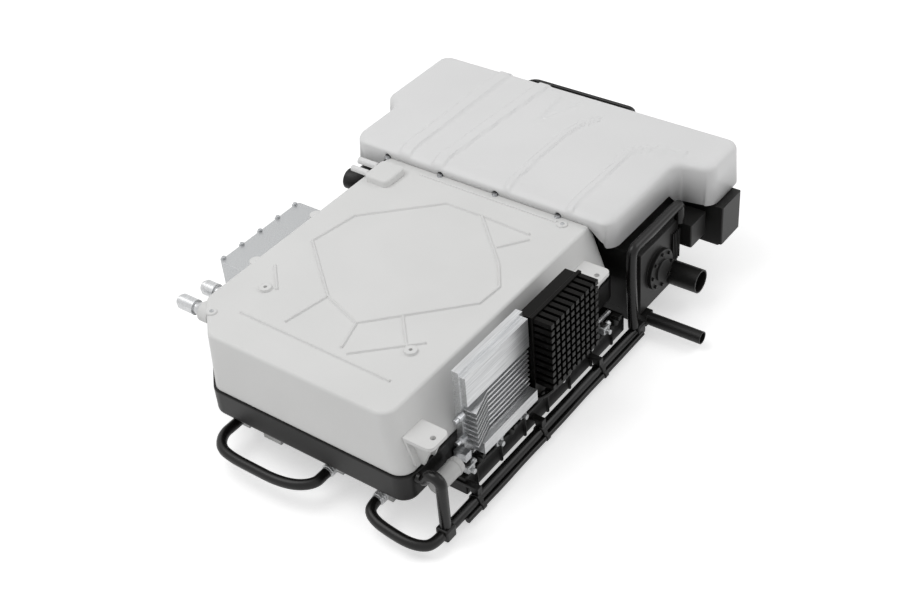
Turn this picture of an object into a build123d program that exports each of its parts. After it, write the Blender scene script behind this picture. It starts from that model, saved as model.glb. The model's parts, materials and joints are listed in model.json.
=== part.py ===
from build123d import *
import math
import os

# Fuel cell power module: a ribbed stack housing in front, a moulded cover over the air, fuel and
# coolant bay behind it. Millimetres, +X to the right, +Y to the rear, +Z up. The origin is on the
# floor, midway between the four feet.

# ---- levels above the floor ----
frame_base = 60.0
tray_base = 110.0
tray_height = 73.0
gasket_thick = 2.0
cover_height = 140.0

# ---- stack housing ----
stack_width = 732.0
stack_front = -650.0
stack_rear = 205.0
side_draft = 52.0
front_draft = 25.0
corner_cut = 170.0
corner_cut_top = 99.0
corner_round = 38.0
cover_wall = 6.0
cover_edge_round = 9.0
rim_width = 18.0
rim_thick = 8.0
tray_proud = 6.0
tray_wall = 8.0
tray_floor = 10.0
rib_width = 9.0
rib_height = 4.0
boss_radius = 17.0
boss_height = 6.0

# ---- cell stack ----
end_plate_thick = 32.0
end_plate_width = 560.0
end_plate_height = 158.0
cells_front = -500.0
cells_length = 600.0
cells_width = 496.0
cells_height = 126.0
groove_pitch = 40.0
groove_depth = 3.0
tie_rod_radius = 7.0
tie_rod_inset = 18.0
bore_clear = 0.3

# ---- base frame and feet ----
foot_spacing_x = 500.0
foot_spacing_y = 960.0
foot_hole_radius = 6.5
foot_plate_thick = 10.0
runner_width = 60.0
runner_wall = 5.0
runner_offset = 210.0
deck_thick = 12.0
deck_left = -390.0
deck_right = 300.0
deck_end = 636.0

# ---- rear cover ----
rear_front = 175.0
rear_end = 650.0
rear_left = -425.0
rear_right = 376.0
rear_wide_left = -470.0
rear_wide_right = 466.0
rear_bottom = 245.0
rear_top = 360.0
rear_draft = 14.0
rear_wall = 5.0
rear_edge_round = 16.0
cover_gap = 10.0
notch_radius = 13.0

# ---- converter and inverter on the right flank ----
converter_front = -468.0
converter_rear = -222.0
converter_base = 121.0
converter_top = 366.0
fin_count = 8
fin_pitch = 14.0
fin_thick = 4.0
fin_reach = 426.0
sink_front = -219.0
sink_rear = -13.0
sink_base = 112.0
sink_top = 353.0
pin_rows = 10
pin_columns = 9
pin_side = 8.0
pin_reach = 22.0

# ---- left junction box ----
junction_front = -315.0
junction_rear = -5.0
junction_outer = -496.0
junction_base = 150.0
junction_top = 225.0

# ---- tubes and hoses ----
hoop_radius = 13.5
rail_level = 35.0
rail_start_x = 436.0
rail_end_x = 478.0
rail_end_y = 170.0
drain_radius = 9.0
hose_radius = 13.0
hose_level = 66.0
rear_tube_radius = 6.0
rear_tube_y = 764.0
rear_tube_z = 285.0
rear_tube_x = (-249.0, 106.0)
rear_fitting_radius = 11.0
stub_radius = 17.0
port_radius = 32.5

os.makedirs("parts", exist_ok=True)

# ---- derived levels and faces ----
side = stack_width / 2
tray_top = tray_base + tray_height
split = tray_top + gasket_thick
cover_top = split + cover_height
side_lean = side_draft / cover_height
front_lean = front_draft / cover_height
floor_top = tray_base + tray_floor


def side_at(z):
    """Half width of the stack cover at a level."""
    return side - side_lean * (z - split)


def housing_plan(half, front, rear, cut, turn):
    """Plan outline of the stack housing: a rectangle with one front corner cut off."""
    with BuildSketch(Plane.XY) as plan:
        with BuildLine():
            Polyline(
                (half, front), (-half + cut, front), (-half, front + cut), (-half, rear), (half, rear),
                close=True,
            )
        make_face()
        fillet(plan.vertices(), turn)
    return plan.sketch


def cover_plan(z, inset):
    """The stack cover's outline at a level, moved inwards by a wall."""
    rise = (z - split) / cover_height
    cut = corner_cut + (corner_cut_top - corner_cut) * rise
    return Plane.XY.offset(z) * housing_plan(
        side_at(z) - inset,
        stack_front + front_lean * (z - split) + inset,
        stack_rear - inset,
        cut - inset * 0.59,
        corner_round - inset * 0.8,
    )


# ---- columns that take the long screws between tray and cover ----
column_radius = 11.0
column_inset = 24.0
column_x = side - column_inset
column_points = [
    (column_x, stack_front + 60), (column_x, stack_front + 300), (column_x, stack_rear - 300),
    (column_x, stack_rear - 40), (-column_x, stack_front + corner_cut + 40),
    (-column_x, stack_front + 420), (-column_x, stack_rear - 200), (-column_x, stack_rear - 40),
    (-side + corner_cut + 20, stack_front + column_inset), (150, stack_front + column_inset),
    (-150, stack_rear - column_inset), (150, stack_rear - column_inset),
]
column_screw = 3.3

# ---- stack tray ----
with BuildPart() as stack_tray:
    tray_half = side + tray_proud
    tray_cut = corner_cut + tray_proud * 0.59
    with BuildSketch(Plane.XY.offset(tray_base)):
        add(housing_plan(tray_half, stack_front - tray_proud, stack_rear + tray_proud, tray_cut, corner_round))
    extrude(amount=tray_height)
    fillet(stack_tray.faces().sort_by(Axis.Z)[0].edges(), 12)
    with BuildSketch(Plane.XY.offset(floor_top)):
        add(
            housing_plan(
                tray_half - rim_width, stack_front - tray_proud + rim_width,
                stack_rear + tray_proud - rim_width, tray_cut - rim_width * 0.59, corner_round - 15,
            )
        )
    extrude(amount=tray_height, mode=Mode.SUBTRACT)
    with BuildSketch(Plane.XY.offset(floor_top)):
        with Locations(*column_points):
            Circle(column_radius)
    extrude(amount=tray_top - floor_top)
    with BuildSketch(Plane.XY.offset(tray_base)):
        with Locations(*column_points):
            Circle(column_screw + bore_clear)
    extrude(amount=tray_height, mode=Mode.SUBTRACT)
    with BuildSketch(Plane.XY.offset(tray_base)):
        with Locations(*column_points):
            Circle(column_screw * 2)
    extrude(amount=column_screw * 2 + 2, mode=Mode.SUBTRACT)
stack_tray.part.label = "stack_tray"
export_step(stack_tray.part, "parts/stack_tray.step")

# ---- gasket between tray and cover ----
with BuildPart() as cover_gasket:
    with BuildSketch(Plane.XY.offset(tray_top)):
        add(housing_plan(side - 2, stack_front + 2, stack_rear - 2, corner_cut - 1.2, corner_round - 2))
        add(
            housing_plan(
                side - rim_width, stack_front + rim_width, stack_rear - rim_width,
                corner_cut - rim_width * 0.59, corner_round - 15,
            ),
            mode=Mode.SUBTRACT,
        )
        with Locations(*column_points):
            Circle(column_radius)
        with Locations(*column_points):
            Circle(column_screw + bore_clear, mode=Mode.SUBTRACT)
    extrude(amount=gasket_thick)
cover_gasket.part.label = "cover_gasket"
export_step(cover_gasket.part, "parts/cover_gasket.step")

# ---- stack cover: drafted shell with a web of ribs, bosses and lugs on top ----
ridge_y = stack_front + 124
rib_runs = [
    [(-64, -371), (58, -413), (259, -208), (264, -134), (212, -62), (61, 81), (-48, 80), (-219, -82),
     (-242, -220), (-64, -371)],
    [(-205, ridge_y + 2), (251, ridge_y - 4)],
    [(58, -413), (85, -501)],
    [(107, -510), (240, -385)],
    [(134, -337), (216, -427)],
    [(-256, -344), (-185, -416)],
    [(-64, -371), (-88, -497)],
    [(168, -11), (221, 58)],
    [(61, 81), (210, 75)],
]
boss_points = [(227, stack_front + 223), (-213, stack_front + 224)]
connector_y = [stack_front + 150, stack_front + 222]
connector_z = split + 60
connector_face = side - 2
lug_y = [stack_front + 301, stack_front + 528]
with BuildPart() as stack_cover:
    with BuildSketch(Plane.XY.offset(split)):
        add(cover_plan(split, 0).moved(Location((0, 0, -split))))
    with BuildSketch(Plane.XY.offset(cover_top)):
        add(cover_plan(cover_top, 0).moved(Location((0, 0, -cover_top))))
    loft(ruled=True)
    fillet(stack_cover.faces().sort_by(Axis.Z)[-1].edges(), cover_edge_round)
    rim_level = split + rim_thick
    roof_level = cover_top - cover_wall
    with BuildSketch(Plane.XY.offset(rim_level)):
        add(cover_plan(rim_level, cover_wall).moved(Location((0, 0, -rim_level))))
    with BuildSketch(Plane.XY.offset(roof_level)):
        add(cover_plan(roof_level, cover_wall).moved(Location((0, 0, -roof_level))))
    loft(ruled=True, mode=Mode.SUBTRACT)
    with BuildSketch(Plane.XY.offset(split)):
        add(
            housing_plan(
                side - rim_width, stack_front + rim_width, stack_rear - rim_width,
                corner_cut - rim_width * 0.59, corner_round - 15,
            )
        )
    extrude(amount=rim_thick, mode=Mode.SUBTRACT)
    with BuildSketch(Plane.XY.offset(split)):
        with Locations(*column_points):
            Circle(column_radius)
    extrude(amount=rim_thick * 2.5)
    with BuildSketch(Plane.XY.offset(split)):
        with Locations(*column_points):
            Circle(column_screw)
    extrude(amount=rim_thick * 2, mode=Mode.SUBTRACT)
    for run in rib_runs:
        with BuildSketch(Plane.XY.offset(cover_top - 1)):
            with BuildLine():
                Polyline(*run)
            trace(line_width=rib_width)
        extrude(amount=rib_height + 1, taper=28)
    with BuildSketch(Plane.XY.offset(cover_top - 1)):
        with Locations(*boss_points):
            Circle(boss_radius)
    extrude(amount=boss_height + 1, taper=12)
    with BuildSketch(Plane.XY.offset(cover_top + boss_height)):
        with Locations(*boss_points):
            Circle(4.3)
    extrude(amount=-boss_height - 3, mode=Mode.SUBTRACT)
    for y in lug_y:
        with BuildSketch(Plane.XY.offset(cover_top - 60)):
            with Locations((-side_at(cover_top) - 1, y)):
                Circle(17)
        extrude(amount=55)
    with BuildSketch(Plane.YZ.offset(-connector_face)):
        with Locations(*[(y, connector_z) for y in connector_y]):
            Circle(26)
    extrude(amount=connector_face - side_at(connector_z) + 10)
stack_cover.part.label = "stack_cover"
export_step(stack_cover.part, "parts/stack_cover.step")

# ---- long screws through tray and gasket into the cover ----
with BuildPart() as tray_screws:
    with BuildSketch(Plane.XY.offset(tray_base)):
        with Locations(*column_points):
            Circle(column_screw * 2 - 1)
    extrude(amount=column_screw * 2 + 2)
    with BuildSketch(Plane.XY.offset(tray_base)):
        with Locations(*column_points):
            Circle(column_screw)
    extrude(amount=tray_height + gasket_thick + rim_thick * 2 - 2)
tray_screws.part.label = "tray_screws"
export_step(tray_screws.part, "parts/tray_screws.step")

# ---- cell stack: grooved block clamped between two end plates by four tie rods ----
cells_rear = cells_front + cells_length
plate_centre = floor_top + end_plate_height / 2
rod_x = end_plate_width / 2 - tie_rod_inset
rod_z = end_plate_height / 2 - tie_rod_inset
rod_points = [(rod_x, rod_z), (rod_x, -rod_z), (-rod_x, rod_z), (-rod_x, -rod_z)]

with BuildPart() as cell_block:
    with Locations((0, (cells_front + cells_rear) / 2, plate_centre)):
        Box(cells_width, cells_length, cells_height)
    with BuildSketch(Plane.XY.offset(plate_centre + cells_height / 2)):
        with Locations((0, (cells_front + cells_rear) / 2)):
            with GridLocations(1, groove_pitch, 1, int(cells_length / groove_pitch)):
                Rectangle(cells_width, 3)
    extrude(amount=-groove_depth, mode=Mode.SUBTRACT)
cell_block.part.label = "cell_block"
export_step(cell_block.part, "parts/cell_block.step")

with BuildPart() as front_end_plate:
    with BuildSketch(Plane.XZ.offset(-cells_front)):
        with Locations((0, plate_centre)):
            Rectangle(end_plate_width, end_plate_height)
            with Locations(*rod_points):
                Circle(tie_rod_radius + bore_clear, mode=Mode.SUBTRACT)
    extrude(amount=end_plate_thick)
    chamfer(front_end_plate.faces().sort_by(Axis.Y)[0].outer_wire().edges(), 3)
front_end_plate.part.label = "front_end_plate"
export_step(front_end_plate.part, "parts/front_end_plate.step")

with BuildPart() as rear_end_plate:
    with BuildSketch(Plane.XZ.offset(-cells_rear - end_plate_thick)):
        with Locations((0, plate_centre)):
            Rectangle(end_plate_width, end_plate_height)
            with Locations(*rod_points):
                Circle(tie_rod_radius + bore_clear, mode=Mode.SUBTRACT)
    extrude(amount=end_plate_thick)
    chamfer(rear_end_plate.faces().sort_by(Axis.Y)[-1].outer_wire().edges(), 3)
rear_end_plate.part.label = "rear_end_plate"
export_step(rear_end_plate.part, "parts/rear_end_plate.step")

nut_thick = 10.0
with BuildPart() as tie_rods:
    with BuildSketch(Plane.XZ.offset(-cells_rear - end_plate_thick - nut_thick)):
        with Locations((0, plate_centre)):
            with Locations(*rod_points):
                Circle(tie_rod_radius)
    extrude(amount=cells_length + 2 * end_plate_thick + 2 * nut_thick)
tie_rods.part.label = "tie_rods"
export_step(tie_rods.part, "parts/tie_rods.step")

with BuildPart() as tie_rod_nuts:
    for plane in (Plane.XZ.offset(-cells_rear - end_plate_thick - nut_thick),
                  Plane.XZ.offset(-cells_front + end_plate_thick)):
        with BuildSketch(plane):
            with Locations((0, plate_centre)):
                with Locations(*rod_points):
                    RegularPolygon(12, 6)
                with Locations(*rod_points):
                    Circle(tie_rod_radius, mode=Mode.SUBTRACT)
        extrude(amount=nut_thick)
tie_rod_nuts.part.label = "tie_rod_nuts"
export_step(tie_rod_nuts.part, "parts/tie_rod_nuts.step")

plate_top = floor_top + end_plate_height
bar_width = 45.0
with BuildPart() as bus_bars:
    with BuildSketch(Plane.YZ.offset(-200)):
        with BuildLine():
            Polyline(
                (cells_front - end_plate_thick, plate_top), (cells_front, plate_top),
                (cells_front, plate_top + 8), (cells_rear + 80, plate_top + 8),
                (cells_rear + 80, plate_top + 14), (cells_front - end_plate_thick, plate_top + 14), close=True,
            )
        make_face()
    extrude(amount=bar_width)
    with Locations((150 + bar_width / 2, cells_rear + 45, plate_top + 3)):
        Box(bar_width, 80, 6)
bus_bars.part.label = "bus_bars"
export_step(bus_bars.part, "parts/bus_bars.step")

# ---- base frame: two hollow runners, cross tubes and a rear deck ----
runner_front = stack_front + 110
deck_front = stack_rear + tray_proud + 3
with BuildPart() as base_frame:
    with BuildSketch(Plane.XZ.offset(-runner_front)):
        with Locations((runner_offset, (frame_base + tray_base) / 2), (-runner_offset, (frame_base + tray_base) / 2)):
            Rectangle(runner_width, tray_base - frame_base)
    extrude(amount=-(deck_end - runner_front))
    for y in (-foot_spacing_y / 2, 0, foot_spacing_y / 2):
        with Locations((0, y, (frame_base + tray_base) / 2)):
            Box(2 * runner_offset, 50, tray_base - frame_base - 10)
    with BuildSketch(Plane.XY.offset(tray_base - deck_thick)):
        with BuildLine():
            Polyline(
                (deck_left, deck_front), (deck_right, deck_front), (deck_right, deck_end),
                (deck_left, deck_end), close=True,
            )
        make_face()
        fillet(faces().vertices(), 12)
    extrude(amount=deck_thick)
    with BuildSketch(Plane.XZ.offset(-runner_front)):
        with Locations((runner_offset, (frame_base + tray_base) / 2), (-runner_offset, (frame_base + tray_base) / 2)):
            Rectangle(runner_width - 2 * runner_wall, tray_base - frame_base - 2 * runner_wall)
    extrude(amount=-(deck_end - runner_front), mode=Mode.SUBTRACT)
base_frame.part.label = "base_frame"
export_step(base_frame.part, "parts/base_frame.step")

# ---- four feet, each a plate with one fixing hole and a post under a runner ----
foot_points = [(sx * foot_spacing_x / 2, sy * foot_spacing_y / 2) for sx in (-1, 1) for sy in (-1, 1)]
with BuildPart() as mount_feet:
    with BuildSketch(Plane.XY):
        for x, y in foot_points:
            inner = math.copysign(runner_offset, x)
            with Locations(((x + inner) / 2, y)):
                RectangleRounded(abs(x - inner) + 64, 64, 12)
        with Locations(*foot_points):
            Circle(foot_hole_radius, mode=Mode.SUBTRACT)
    extrude(amount=foot_plate_thick)
    with BuildSketch(Plane.XY.offset(foot_plate_thick)):
        for x, y in foot_points:
            with Locations((math.copysign(runner_offset, x), y)):
                Circle(24)
    extrude(amount=frame_base - foot_plate_thick)
mount_feet.part.label = "mount_feet"
export_step(mount_feet.part, "parts/mount_feet.step")


# ---- rear cover: stepped moulded shell, open below, lapping over the stack cover ----
def rear_plan(z, inset):
    """Outline of the rear cover at a level, moved inwards by a wall."""
    lean = rear_draft * (rear_top - z) / (rear_top - rear_bottom) - inset
    with BuildSketch(Plane.XY) as plan:
        with BuildLine():
            Polyline(
                (rear_left - lean, rear_front + inset), (rear_right + lean, rear_front + inset),
                (rear_right + lean, rear_front + 313 - lean), (rear_wide_right + lean, rear_front + 330 - lean),
                (rear_wide_right + lean, rear_end + lean), (rear_wide_left - lean, rear_end + lean),
                (rear_wide_left - lean, rear_front + 222 - lean), (rear_left - lean, rear_front + 205 - lean),
                close=True,
            )
        make_face()
        fillet(plan.vertices(), 24 - inset * 0.8)
    return plan.sketch


notch_x = [-314, -139, 36, 226]
skirt_front = stack_rear + tray_proud + 9
with BuildPart() as rear_cover:
    with BuildSketch(Plane.XY.offset(rear_bottom)):
        add(rear_plan(rear_bottom, 0))
    for turn in (0, 22.5, 45, 67.5, 90):
        level = rear_top - rear_edge_round * (1 - math.sin(math.radians(turn)))
        with BuildSketch(Plane.XY.offset(level)):
            add(rear_plan(level, rear_edge_round * (1 - math.cos(math.radians(turn)))))
    loft(ruled=True)
    with BuildSketch(Plane.YZ):
        with BuildLine():
            Polyline(
                (rear_front - 1, rear_top + 1), (rear_front + 36, rear_top + 1), (rear_front + 36, rear_top),
                (rear_front - 1, rear_top - 11), close=True,
            )
        make_face()
    extrude(amount=600, both=True, mode=Mode.SUBTRACT)
    with BuildSketch(Plane.XY.offset(rear_bottom)):
        add(rear_plan(rear_bottom, rear_wall))
    with BuildSketch(Plane.XY.offset(rear_top - 18)):
        add(rear_plan(rear_top - 18, rear_wall))
    loft(ruled=True, mode=Mode.SUBTRACT)
    with BuildSketch(Plane.YZ):
        with BuildLine():
            Polyline(
                (rear_front - 5, rear_bottom - 5), (skirt_front, rear_bottom - 5),
                (skirt_front, cover_top + cover_gap - 10), (skirt_front - 10, cover_top + cover_gap),
                (rear_front - 5, cover_top + cover_gap), close=True,
            )
        make_face()
    extrude(amount=600, both=True, mode=Mode.SUBTRACT)
    with BuildSketch(Plane.XZ.offset(-rear_front + 2)):
        with Locations(*[(x, cover_top + cover_gap) for x in notch_x]):
            Circle(notch_radius)
    extrude(amount=-14, mode=Mode.SUBTRACT)
    with BuildSketch(Plane.XZ.offset(-rear_end - 30)):
        with Locations(*[(x, rear_tube_z) for x in rear_tube_x]):
            Circle(rear_fitting_radius + 1)
    extrude(amount=60, mode=Mode.SUBTRACT)
rear_cover.part.label = "rear_cover"
export_step(rear_cover.part, "parts/rear_cover.step")

# ---- bolts along the stack cover's rear edge, in the rear cover's notches ----
with BuildPart() as rear_edge_bolts:
    with BuildSketch(Plane.XY.offset(cover_top)):
        with Locations(*[(x, rear_front - 2) for x in notch_x]):
            Circle(8)
    extrude(amount=2)
    with BuildSketch(Plane.XY.offset(cover_top + 2)):
        with Locations(*[(x, rear_front - 2) for x in notch_x]):
            RegularPolygon(6.5, 6)
    extrude(amount=5)
rear_edge_bolts.part.label = "rear_edge_bolts"
export_step(rear_edge_bolts.part, "parts/rear_edge_bolts.step")

# ---- posts that carry the rear cover on the deck ----
post_points = [(-340, deck_end - 60), (220, deck_end - 60), (-340, deck_front + 40), (150, deck_front + 40)]
post_top = rear_top - 18
with BuildPart() as cover_posts:
    with BuildSketch(Plane.XY.offset(tray_base)):
        with Locations(*post_points):
            Circle(12)
    extrude(amount=post_top - tray_base)
cover_posts.part.label = "cover_posts"
export_step(cover_posts.part, "parts/cover_posts.step")

# ---- converter: finned body with a stepped top box ----
flank = side + tray_proud
converter_length = converter_rear - converter_front
converter_middle = (converter_front + converter_rear) / 2
fins_top = converter_base + 37 + fin_pitch * fin_count
with BuildPart() as converter_body:
    with BuildSketch(Plane.YZ.offset(flank)):
        with Locations((converter_middle, (converter_base + converter_top) / 2)):
            Rectangle(converter_length, converter_top - converter_base)
    extrude(amount=18)
    with BuildSketch(Plane.YZ.offset(flank + 18)):
        with Locations((converter_middle, (fins_top + 2 + converter_top - 12) / 2)):
            Rectangle(converter_length - 6, converter_top - 12 - fins_top - 2)
    extrude(amount=16)
    with BuildSketch(Plane.YZ.offset(flank + 18)):
        with Locations((converter_middle + 10, converter_base + 16)):
            Rectangle(converter_length - 34, 32)
    extrude(amount=fin_reach - flank - 18)
    for index in range(fin_count):
        level = converter_base + 37 + index * fin_pitch
        with BuildSketch(Plane.XY.offset(level)):
            with BuildLine():
                Polyline(
                    (flank + 16, converter_front + 6), (fin_reach, converter_front + 6),
                    (fin_reach - 22, converter_front + 78), (fin_reach - 22, converter_rear - 4),
                    (flank + 16, converter_rear - 4), close=True,
                )
            make_face()
        extrude(amount=fin_thick)
converter_body.part.label = "converter_body"
export_step(converter_body.part, "parts/converter_body.step")


# ---- inverter heat sink: plate with a field of pins on its outer face ----
sink_back = side + 38
sink_length = sink_rear - sink_front
sink_height = sink_top - sink_base
with BuildPart() as inverter_sink:
    with BuildSketch(Plane.YZ.offset(sink_back)):
        with Locations(((sink_front + sink_rear) / 2, (sink_base + sink_top) / 2)):
            Rectangle(sink_length, sink_height)
    extrude(amount=40)
    with BuildSketch(Plane.YZ.offset(sink_back + 40)):
        with Locations(((sink_front + sink_rear) / 2, (sink_base + sink_top) / 2)):
            with GridLocations(sink_length / pin_columns, sink_height / pin_rows, pin_columns, pin_rows):
                Rectangle(pin_side, pin_side)
    extrude(amount=pin_reach)
inverter_sink.part.label = "inverter_sink"
export_step(inverter_sink.part, "parts/inverter_sink.step")

with BuildPart() as inverter_case:
    with Locations(((flank + sink_back) / 2, (sink_front + sink_rear) / 2, (sink_base + sink_top) / 2)):
        Box(sink_back - flank, sink_length - 10, sink_height - 12)
inverter_case.part.label = "inverter_case"
export_step(inverter_case.part, "parts/inverter_case.step")

# ---- cast side brackets: a pad with two webs on a plate that lies on the drafted wall ----
bracket_points = [(stack_front + 40, split + 80), (stack_rear - 155, split + 82)]
bracket_length = 70.0
pad_reach = side + 48
with BuildPart() as side_brackets:
    for y, top in bracket_points:
        foot = split + 8
        with BuildSketch(Plane.XZ.offset(-y)):
            with BuildLine():
                Polyline(
                    (side_at(foot), foot), (side_at(top), top), (side_at(top) + 8, top),
                    (side_at(foot) + 8, foot), close=True,
                )
            make_face()
        extrude(amount=-bracket_length)
        with BuildSketch(Plane.XY.offset(top - 9)):
            with Locations(((side_at(top) + 4 + pad_reach) / 2, y + bracket_length / 2)):
                Rectangle(pad_reach - side_at(top) - 4, bracket_length)
            fillet(vertices().sort_by(Axis.X)[-2:], 16)
            with Locations((pad_reach - 20, y + bracket_length / 2)):
                Circle(6.5, mode=Mode.SUBTRACT)
        extrude(amount=9)
        for web_y in (y + 14, y + bracket_length - 14 - 7):
            with BuildSketch(Plane.XZ.offset(-web_y)):
                with BuildLine():
                    Polyline(
                        (side_at(foot) + 4, foot), (side_at(top) + 4, top - 5), (pad_reach - 8, top - 5),
                        (side_at(foot) + 16, foot), close=True,
                    )
                make_face()
            extrude(amount=-7)
side_brackets.part.label = "side_brackets"
export_step(side_brackets.part, "parts/side_brackets.step")

# ---- left junction box with bolted lid ----
junction_length = junction_rear - junction_front
junction_mid_y = (junction_front + junction_rear) / 2
lid_thick = 10.0
junction_split = junction_top - lid_thick
lug_count = 5
lug_pitch = (junction_length - 30) / (lug_count - 1)
lug_places = [(-junction_outer * -1 + 2, junction_front + 15 + i * lug_pitch) for i in range(lug_count)]
with BuildPart() as junction_box:
    with BuildSketch(Plane.XY.offset(junction_base)):
        with Locations(((junction_outer - flank) / 2, junction_mid_y)):
            Rectangle(-flank - junction_outer, junction_length)
        fillet(vertices().sort_by(Axis.X)[:2], 10)
    extrude(amount=junction_split - junction_base)
    with BuildSketch(Plane.XY.offset(junction_base + 40)):
        with Locations(*lug_places):
            Circle(9)
    extrude(amount=junction_split - junction_base - 40)
    with BuildSketch(Plane.XY.offset(junction_split)):
        with Locations(*lug_places):
            Circle(3)
    extrude(amount=-20, mode=Mode.SUBTRACT)
junction_box.part.label = "junction_box"
export_step(junction_box.part, "parts/junction_box.step")

with BuildPart() as junction_lid:
    with BuildSketch(Plane.XY.offset(junction_split)):
        with Locations(((junction_outer - flank) / 2, junction_mid_y)):
            Rectangle(-flank - junction_outer, junction_length)
        fillet(vertices().sort_by(Axis.X)[:2], 10)
        with Locations(*lug_places):
            Circle(9)
        with Locations(*lug_places):
            Circle(3 + bore_clear, mode=Mode.SUBTRACT)
    extrude(amount=lid_thick)
junction_lid.part.label = "junction_lid"
export_step(junction_lid.part, "parts/junction_lid.step")

with BuildPart() as junction_bolts:
    with BuildSketch(Plane.XY.offset(junction_top)):
        with Locations(*lug_places):
            RegularPolygon(6, 6)
    extrude(amount=6)
    with BuildSketch(Plane.XY.offset(junction_top)):
        with Locations(*lug_places):
            Circle(3)
    extrude(amount=-lid_thick - 16)
junction_bolts.part.label = "junction_bolts"
export_step(junction_bolts.part, "parts/junction_bolts.step")

# ---- round connectors on the left front of the stack cover ----
with BuildPart() as side_connectors:
    for y, reach in zip(connector_y, (82, 70)):
        with BuildSketch(Plane.YZ.offset(-connector_face)):
            with Locations((y, connector_z)):
                Circle(15)
        extrude(amount=-reach)
        with BuildSketch(Plane.YZ.offset(-connector_face - 26)):
            with Locations((y, connector_z)):
                Circle(20)
        extrude(amount=-reach + 34)
        with BuildSketch(Plane.YZ.offset(-connector_face)):
            with Locations((y, connector_z)):
                RegularPolygon(19, 6)
        extrude(amount=-14)
        with BuildSketch(Plane.YZ.offset(-connector_face - reach)):
            with Locations((y, connector_z)):
                Circle(10)
        extrude(amount=12, mode=Mode.SUBTRACT)
side_connectors.part.label = "side_connectors"
export_step(side_connectors.part, "parts/side_connectors.step")

# ---- manifold casting and its two pipes on the stack cover's left rear ----
manifold_front = stack_rear - 150
manifold_level = cover_top
with BuildPart() as manifold_casting:
    with BuildSketch(Plane.XY.offset(manifold_level)):
        with Locations((-262, manifold_front + 42)):
            RectangleRounded(76, 84, 14)
    extrude(amount=20)
    fillet(manifold_casting.faces().sort_by(Axis.Z)[-1].edges(), 6)
manifold_casting.part.label = "manifold_casting"
export_step(manifold_casting.part, "parts/manifold_casting.step")

with BuildPart() as manifold_pipes:
    for y, radius, reach in ((manifold_front + 22, 8.5, 55), (manifold_front + 60, 9.5, 62)):
        with BuildSketch(Plane.YZ.offset(-300)):
            with Locations((y, manifold_level + 10)):
                Circle(radius)
                Circle(radius - 2.5, mode=Mode.SUBTRACT)
        extrude(amount=-reach)
manifold_pipes.part.label = "manifold_pipes"
export_step(manifold_pipes.part, "parts/manifold_pipes.step")

# ---- air filter box in the rear bay and the intake elbow that leads to it ----
elbow_radius = 29.0
elbow_z = split + 60
elbow_y = stack_rear - 70
elbow_x = -side - elbow_radius - 0
filter_front = deck_front + 80
with BuildPart() as intake_elbow:
    with BuildLine():
        FilletPolyline(
            (elbow_x - 32, elbow_y, elbow_z), (elbow_x, elbow_y, elbow_z), (elbow_x, filter_front, elbow_z),
            radius=31,
        )
    with BuildSketch(Plane.YZ.offset(elbow_x - 32)):
        with Locations((elbow_y, elbow_z)):
            Circle(elbow_radius)
            Circle(elbow_radius - 4, mode=Mode.SUBTRACT)
    sweep()
intake_elbow.part.label = "intake_elbow"
export_step(intake_elbow.part, "parts/intake_elbow.step")

with BuildPart() as air_filter:
    with BuildSketch(Plane.XY.offset(tray_base)):
        with Locations((elbow_x + 84, filter_front + 110)):
            RectangleRounded(226, 220, 24)
    extrude(amount=190)
    fillet(air_filter.faces().sort_by(Axis.Z)[-1].edges(), 14)
air_filter.part.label = "air_filter"
export_step(air_filter.part, "parts/air_filter.step")

# ---- heat exchanger, pump and blower on the deck ----
with BuildPart() as heat_exchanger:
    with Locations((-40, deck_end - 130, tray_base + 81)):
        Box(190, 220, 162)
    with BuildSketch(Plane.XZ.offset(-deck_end + 20)):
        with Locations((-40, tray_base + 81)):
            with GridLocations(14, 1, 12, 1):
                Rectangle(8, 130)
    extrude(amount=6, mode=Mode.SUBTRACT)
heat_exchanger.part.label = "heat_exchanger"
export_step(heat_exchanger.part, "parts/heat_exchanger.step")

with BuildPart() as coolant_pump:
    with BuildSketch(Plane.XZ.offset(-deck_end + 180)):
        with Locations((150, tray_base + 54)):
            Circle(46)
    extrude(amount=-150)
    with BuildSketch(Plane.XZ.offset(-deck_end + 90)):
        with Locations((150, tray_base + 54)):
            Circle(54)
    extrude(amount=-30)
    with Locations((150, deck_end - 105, tray_base + 6)):
        Box(110, 130, 12)
    with BuildSketch(Plane.XY.offset(tray_base + 54)):
        with Locations((150, deck_end - 75)):
            Circle(18)
    extrude(amount=90)
coolant_pump.part.label = "coolant_pump"
export_step(coolant_pump.part, "parts/coolant_pump.step")

with BuildPart() as gas_blower:
    with BuildSketch(Plane.XY.offset(tray_base)):
        with Locations((20, deck_front + 72)):
            Circle(58)
    extrude(amount=60)
    with BuildSketch(Plane.XY.offset(tray_base + 60)):
        with Locations((20, deck_front + 72)):
            Circle(42)
    extrude(amount=110)
gas_blower.part.label = "gas_blower"
export_step(gas_blower.part, "parts/gas_blower.step")

# ---- purge manifold on the heat exchanger and the gas line that loops behind the cover ----
purge_top = rear_tube_z + 15
with BuildPart() as purge_manifold:
    with BuildSketch(Plane.XY.offset(tray_base + 162)):
        with Locations(((rear_tube_x[0] + rear_tube_x[1]) / 2, deck_end - 40)):
            RectangleRounded(rear_tube_x[1] - rear_tube_x[0] + 36, 30, 8)
    extrude(amount=purge_top - tray_base - 162)
purge_manifold.part.label = "purge_manifold"
export_step(purge_manifold.part, "parts/purge_manifold.step")

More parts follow.
